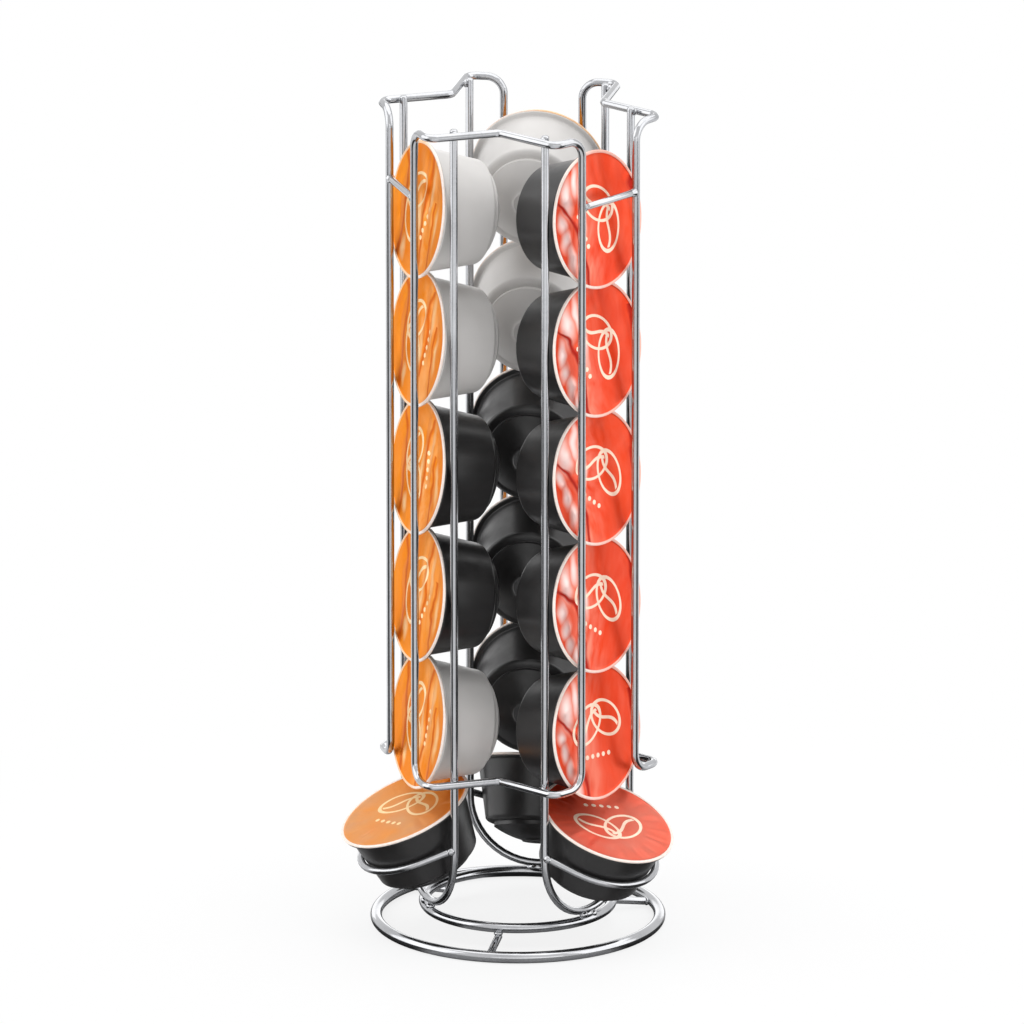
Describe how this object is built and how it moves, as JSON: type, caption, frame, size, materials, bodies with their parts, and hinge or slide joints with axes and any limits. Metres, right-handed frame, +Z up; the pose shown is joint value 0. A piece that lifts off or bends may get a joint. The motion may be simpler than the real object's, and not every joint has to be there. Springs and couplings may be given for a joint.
{
  "type": "coffee capsule dispenser",
  "caption": "Chromed wire tower on a double ring base, with three gravity-fed columns of foil-lidded coffee capsules and a sloping wire tray under each.",
  "frame": {"origin": "on the table, in the middle of the space that the loaded dispenser takes up", "axes": "+Z up along the tower, -Y towards the gap between the two front columns, +X to the viewer's right"},
  "size_m": [0.1326, 0.1304, 0.3337],
  "materials": {
    "chrome_wire": "polished chrome plate on bent steel wire",
    "foil_orange": "glossy lacquered foil, amber orange, with a pale rolled rim",
    "foil_red": "glossy lacquered foil, red orange, with a pale rolled rim",
    "cup_white": "satin white plastic",
    "cup_black": "satin black plastic"
  },
  "bodies": {
    "tower": {"outer_ring": "chrome_wire", "inner_ring": "chrome_wire", "spoke_front": "chrome_wire", "spoke_right": "chrome_wire", "spoke_left": "chrome_wire", "frame_front": "chrome_wire", "frame_right": "chrome_wire", "frame_left": "chrome_wire", "guide_right": "chrome_wire", "guide_back": "chrome_wire", "guide_left": "chrome_wire", "bar_right": "chrome_wire", "bar_back": "chrome_wire", "bar_left": "chrome_wire", "tray_right": "chrome_wire", "tray_back": "chrome_wire", "tray_left": "chrome_wire"},
    "capsule_right_tray": {"capsule_right_tray_cup": "cup_black", "capsule_right_tray_lid": "foil_red"},
    "capsule_right_5": {"capsule_right_5_cup": "cup_black", "capsule_right_5_lid": "foil_red"},
    "capsule_right_4": {"capsule_right_4_cup": "cup_black", "capsule_right_4_lid": "foil_red"},
    "capsule_right_3": {"capsule_right_3_cup": "cup_black", "capsule_right_3_lid": "foil_red"},
    "capsule_right_2": {"capsule_right_2_cup": "cup_black", "capsule_right_2_lid": "foil_red"},
    "capsule_right_1": {"capsule_right_1_cup": "cup_black", "capsule_right_1_lid": "foil_red"},
    "capsule_back_tray": {"capsule_back_tray_cup": "cup_black", "capsule_back_tray_lid": "foil_orange"},
    "capsule_back_5": {"capsule_back_5_cup": "cup_black", "capsule_back_5_lid": "foil_orange"},
    "capsule_back_4": {"capsule_back_4_cup": "cup_black", "capsule_back_4_lid": "foil_orange"},
    "capsule_back_3": {"capsule_back_3_cup": "cup_black", "capsule_back_3_lid": "foil_orange"},
    "capsule_back_2": {"capsule_back_2_cup": "cup_white", "capsule_back_2_lid": "foil_orange"},
    "capsule_back_1": {"capsule_back_1_cup": "cup_white", "capsule_back_1_lid": "foil_orange"},
    "capsule_left_tray": {"capsule_left_tray_cup": "cup_black", "capsule_left_tray_lid": "foil_orange"},
    "capsule_left_5": {"capsule_left_5_cup": "cup_white", "capsule_left_5_lid": "foil_orange"},
    "capsule_left_4": {"capsule_left_4_cup": "cup_black", "capsule_left_4_lid": "foil_orange"},
    "capsule_left_3": {"capsule_left_3_cup": "cup_black", "capsule_left_3_lid": "foil_orange"},
    "capsule_left_2": {"capsule_left_2_cup": "cup_white", "capsule_left_2_lid": "foil_orange"},
    "capsule_left_1": {"capsule_left_1_cup": "cup_white", "capsule_left_1_lid": "foil_orange"}
  },
  "joints": [
    {"name": "capsule_right_tray_lift", "type": "slide", "parent": "tower", "child": "capsule_right_tray", "axis": [0, 0, 1], "range_m": [0, 0.012]},
    {"name": "capsule_right_5_lift", "type": "slide", "parent": "capsule_right_tray", "child": "capsule_right_5", "axis": [0, 0, 1], "range_m": [0, 0.276]},
    {"name": "capsule_right_4_lift", "type": "slide", "parent": "capsule_right_5", "child": "capsule_right_4", "axis": [0, 0, 1], "range_m": [0, 0.224]},
    {"name": "capsule_right_3_lift", "type": "slide", "parent": "capsule_right_4", "child": "capsule_right_3", "axis": [0, 0, 1], "range_m": [0, 0.172]},
    {"name": "capsule_right_2_lift", "type": "slide", "parent": "capsule_right_3", "child": "capsule_right_2", "axis": [0, 0, 1], "range_m": [0, 0.12]},
    {"name": "capsule_right_1_lift", "type": "slide", "parent": "capsule_right_2", "child": "capsule_right_1", "axis": [0, 0, 1], "range_m": [0, 0.068]},
    {"name": "capsule_back_tray_lift", "type": "slide", "parent": "tower", "child": "capsule_back_tray", "axis": [0, 0, 1], "range_m": [0, 0.012]},
    {"name": "capsule_back_5_lift", "type": "slide", "parent": "capsule_back_tray", "child": "capsule_back_5", "axis": [0, 0, 1], "range_m": [0, 0.276]},
    {"name": "capsule_back_4_lift", "type": "slide", "parent": "capsule_back_5", "child": "capsule_back_4", "axis": [0, 0, 1], "range_m": [0, 0.224]},
    {"name": "capsule_back_3_lift", "type": "slide", "parent": "capsule_back_4", "child": "capsule_back_3", "axis": [0, 0, 1], "range_m": [0, 0.172]},
    {"name": "capsule_back_2_lift", "type": "slide", "parent": "capsule_back_3", "child": "capsule_back_2", "axis": [0, 0, 1], "range_m": [0, 0.12]},
    {"name": "capsule_back_1_lift", "type": "slide", "parent": "capsule_back_2", "child": "capsule_back_1", "axis": [0, 0, 1], "range_m": [0, 0.068]},
    {"name": "capsule_left_tray_lift", "type": "slide", "parent": "tower", "child": "capsule_left_tray", "axis": [0, 0, 1], "range_m": [0, 0.012]},
    {"name": "capsule_left_5_lift", "type": "slide", "parent": "capsule_left_tray", "child": "capsule_left_5", "axis": [0, 0, 1], "range_m": [0, 0.276]},
    {"name": "capsule_left_4_lift", "type": "slide", "parent": "capsule_left_5", "child": "capsule_left_4", "axis": [0, 0, 1], "range_m": [0, 0.224]},
    {"name": "capsule_left_3_lift", "type": "slide", "parent": "capsule_left_4", "child": "capsule_left_3", "axis": [0, 0, 1], "range_m": [0, 0.172]},
    {"name": "capsule_left_2_lift", "type": "slide", "parent": "capsule_left_3", "child": "capsule_left_2", "axis": [0, 0, 1], "range_m": [0, 0.12]},
    {"name": "capsule_left_1_lift", "type": "slide", "parent": "capsule_left_2", "child": "capsule_left_1", "axis": [0, 0, 1], "range_m": [0, 0.068]}
  ]
}
